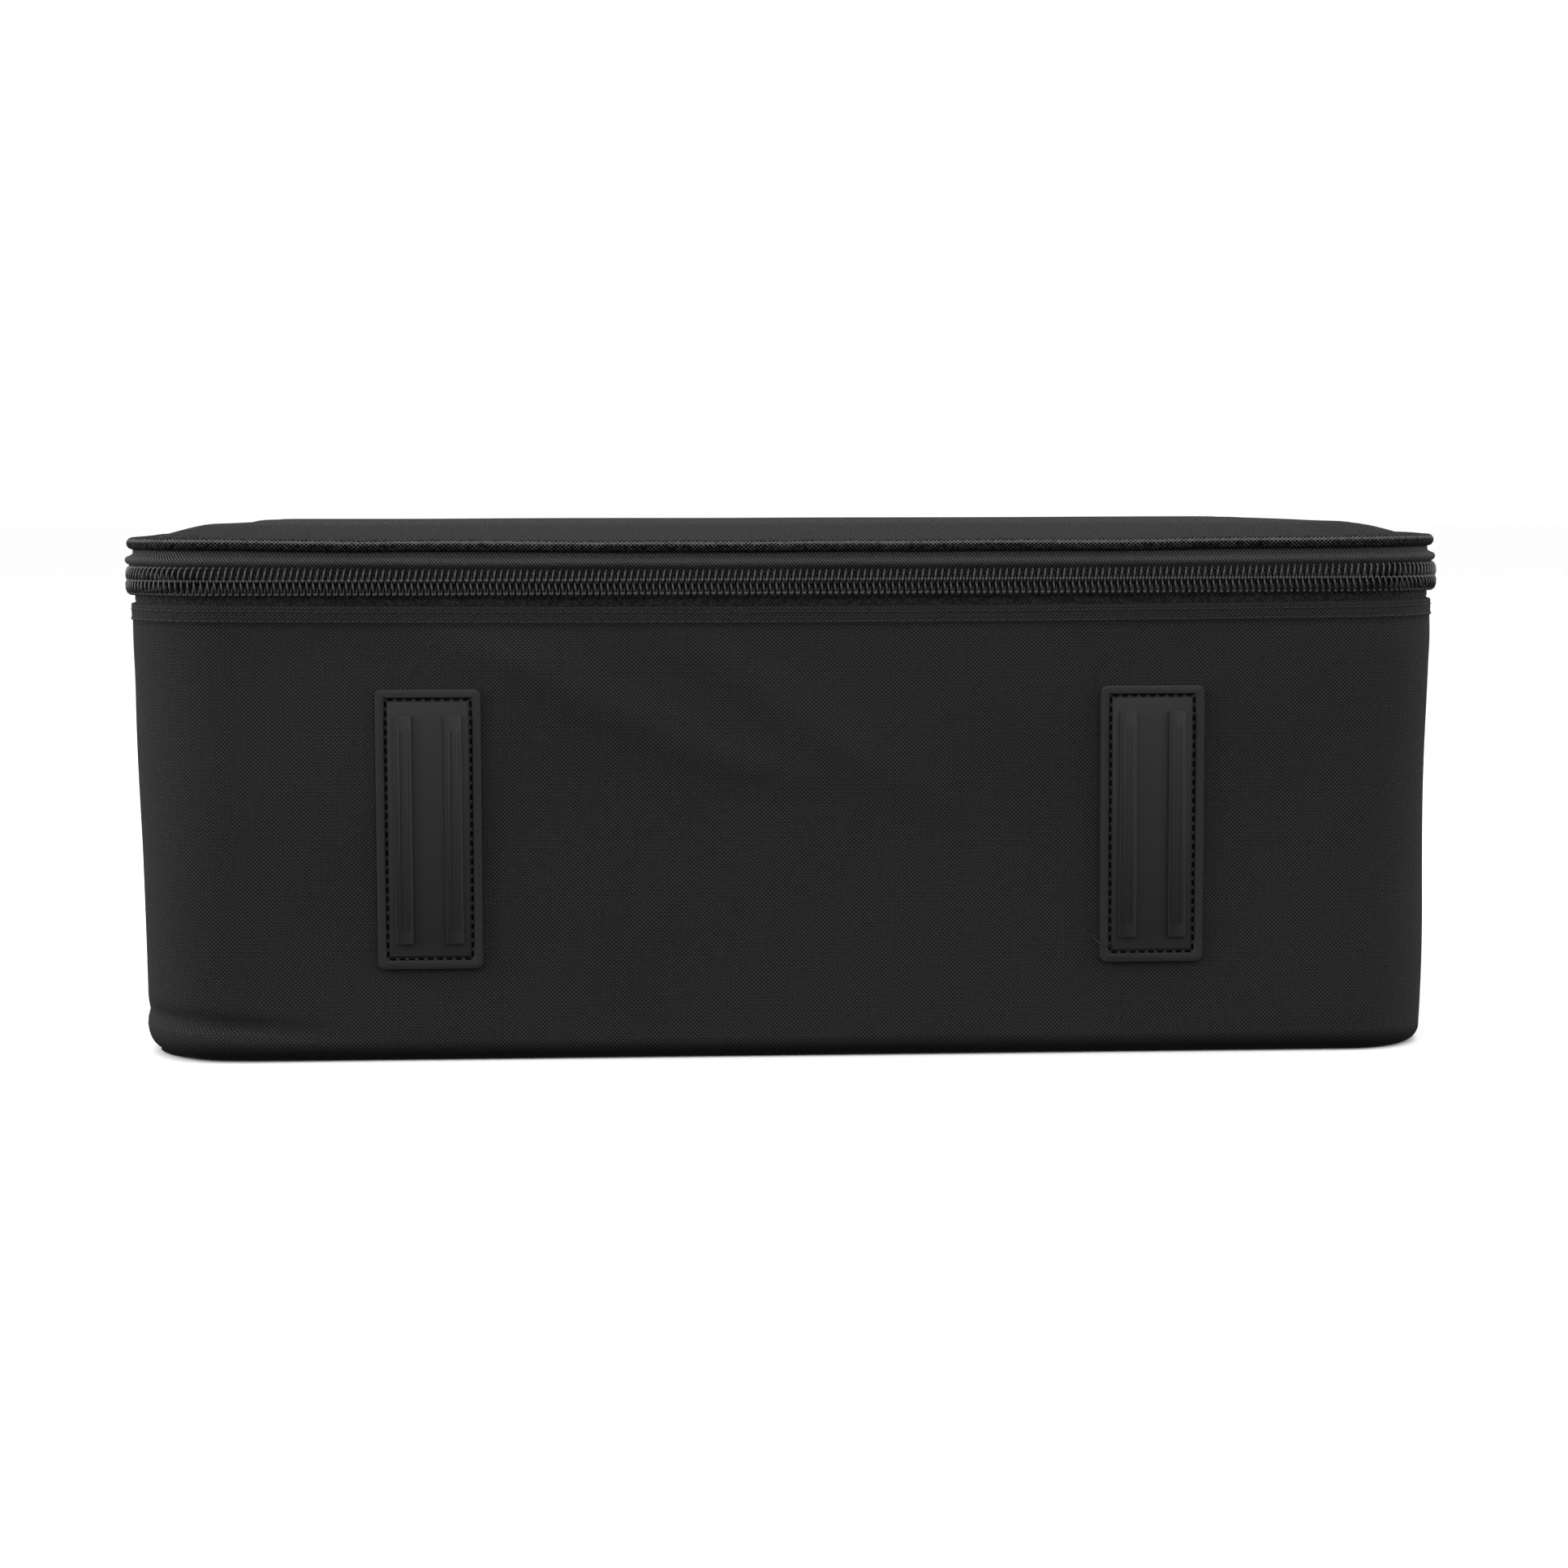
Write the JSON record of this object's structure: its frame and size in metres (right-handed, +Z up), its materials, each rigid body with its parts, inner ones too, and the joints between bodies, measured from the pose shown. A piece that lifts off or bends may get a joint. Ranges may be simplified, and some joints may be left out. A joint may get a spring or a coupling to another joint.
{
  "type": "lipo battery safe bag",
  "caption": "Padded fire resistant bag for model batteries, with a hinged zipped lid, movable dividers, ribbed foot pads and a rear grab handle.",
  "frame": {"origin": "on the floor, under the middle of the bag's bottom panel", "axes": "+X to the bag's right as seen from the front, +Y from the front wall with the foot pads to the back wall, +Z up"},
  "size_m": [0.4454, 0.3418, 0.1744],
  "materials": {
    "oxford_black": "matte",
    "zip_tape": "matte",
    "zip_coil": "satin",
    "rubber_pad": "matte",
    "foam": "matte",
    "board": "matte",
    "fire_liner": "satin",
    "binding": "matte",
    "webbing": "matte",
    "slider_metal": "satin",
    "hook_and_loop": "matte",
    "divider_fabric": "matte"
  },
  "bodies": {
    "base": {"bottom_panel": "oxford_black", "bottom_board": "board", "bottom_foam": "foam", "wall_fabric": "oxford_black", "rear_panel": "oxford_black", "wall_foam": "foam", "rear_foam": "foam", "fire_liner_tray": "fire_liner", "rim_binding": "binding", "loop_strip_front": "hook_and_loop", "loop_strip_rear": "hook_and_loop", "zip_tape_lower": "zip_tape", "zip_coil_lower": "zip_coil", "zip_end_stop_left": "slider_metal", "zip_end_stop_right": "slider_metal", "hinge_gusset": "oxford_black", "left_foot_pad": "rubber_pad", "right_foot_pad": "rubber_pad", "handle_anchor_left": "webbing", "handle_anchor_right": "webbing"},
    "lid": {"zip_tape_upper": "zip_tape", "zip_coil_upper": "zip_coil", "lid_top_panel": "oxford_black", "lid_board": "board", "lid_foam": "foam", "fire_liner_lid": "fire_liner", "lid_edge_piping": "oxford_black", "lid_liner_binding": "binding"},
    "front_slider": {"front_zip_slider": "slider_metal"},
    "rear_slider": {"rear_zip_slider": "slider_metal"},
    "front_pull": {"front_zip_pull": "slider_metal"},
    "rear_pull": {"rear_zip_pull": "slider_metal"},
    "handle": {"handle_webbing": "webbing", "handle_grip_sleeve": "oxford_black"},
    "left_divider": {"left_divider": "divider_fabric", "left_divider_hooks": "hook_and_loop"},
    "right_divider": {"right_divider": "divider_fabric", "right_divider_hooks": "hook_and_loop"}
  },
  "joints": [
    {"name": "lid_hinge", "type": "hinge", "parent": "base", "child": "lid", "pos_m": [0, 0.1515, 0.1565], "axis": [-1, 0, 0], "range_deg": [0, 180], "deforming": ["hinge_gusset"]},
    {"name": "front_slider_travel", "type": "slide", "parent": "base", "child": "front_slider", "axis": [0, -1, 0], "range_m": [0, 0.098]},
    {"name": "rear_slider_travel", "type": "slide", "parent": "base", "child": "rear_slider", "axis": [0, 1, 0], "range_m": [0, 0.098]},
    {"name": "front_pull_swing", "type": "hinge", "parent": "front_slider", "child": "front_pull", "pos_m": [0.2238, -0.011, 0.1565], "axis": [0, -1, 0], "range_deg": [0, 150]},
    {"name": "rear_pull_swing", "type": "hinge", "parent": "rear_slider", "child": "rear_pull", "pos_m": [0.2238, 0.011, 0.1565], "axis": [0, -1, 0], "range_deg": [0, 150]},
    {"name": "handle_swing", "type": "hinge", "parent": "base", "child": "handle", "pos_m": [0, 0.156, 0.075], "axis": [1, 0, 0], "range_deg": [-45, 45], "stiffness_Nm_per_rad": 0.3},
    {"name": "left_divider_move", "type": "slide", "parent": "base", "child": "left_divider", "axis": [1, 0, 0], "range_m": [-0.045, 0.045]},
    {"name": "right_divider_move", "type": "slide", "parent": "base", "child": "right_divider", "axis": [1, 0, 0], "range_m": [-0.045, 0.045]}
  ]
}
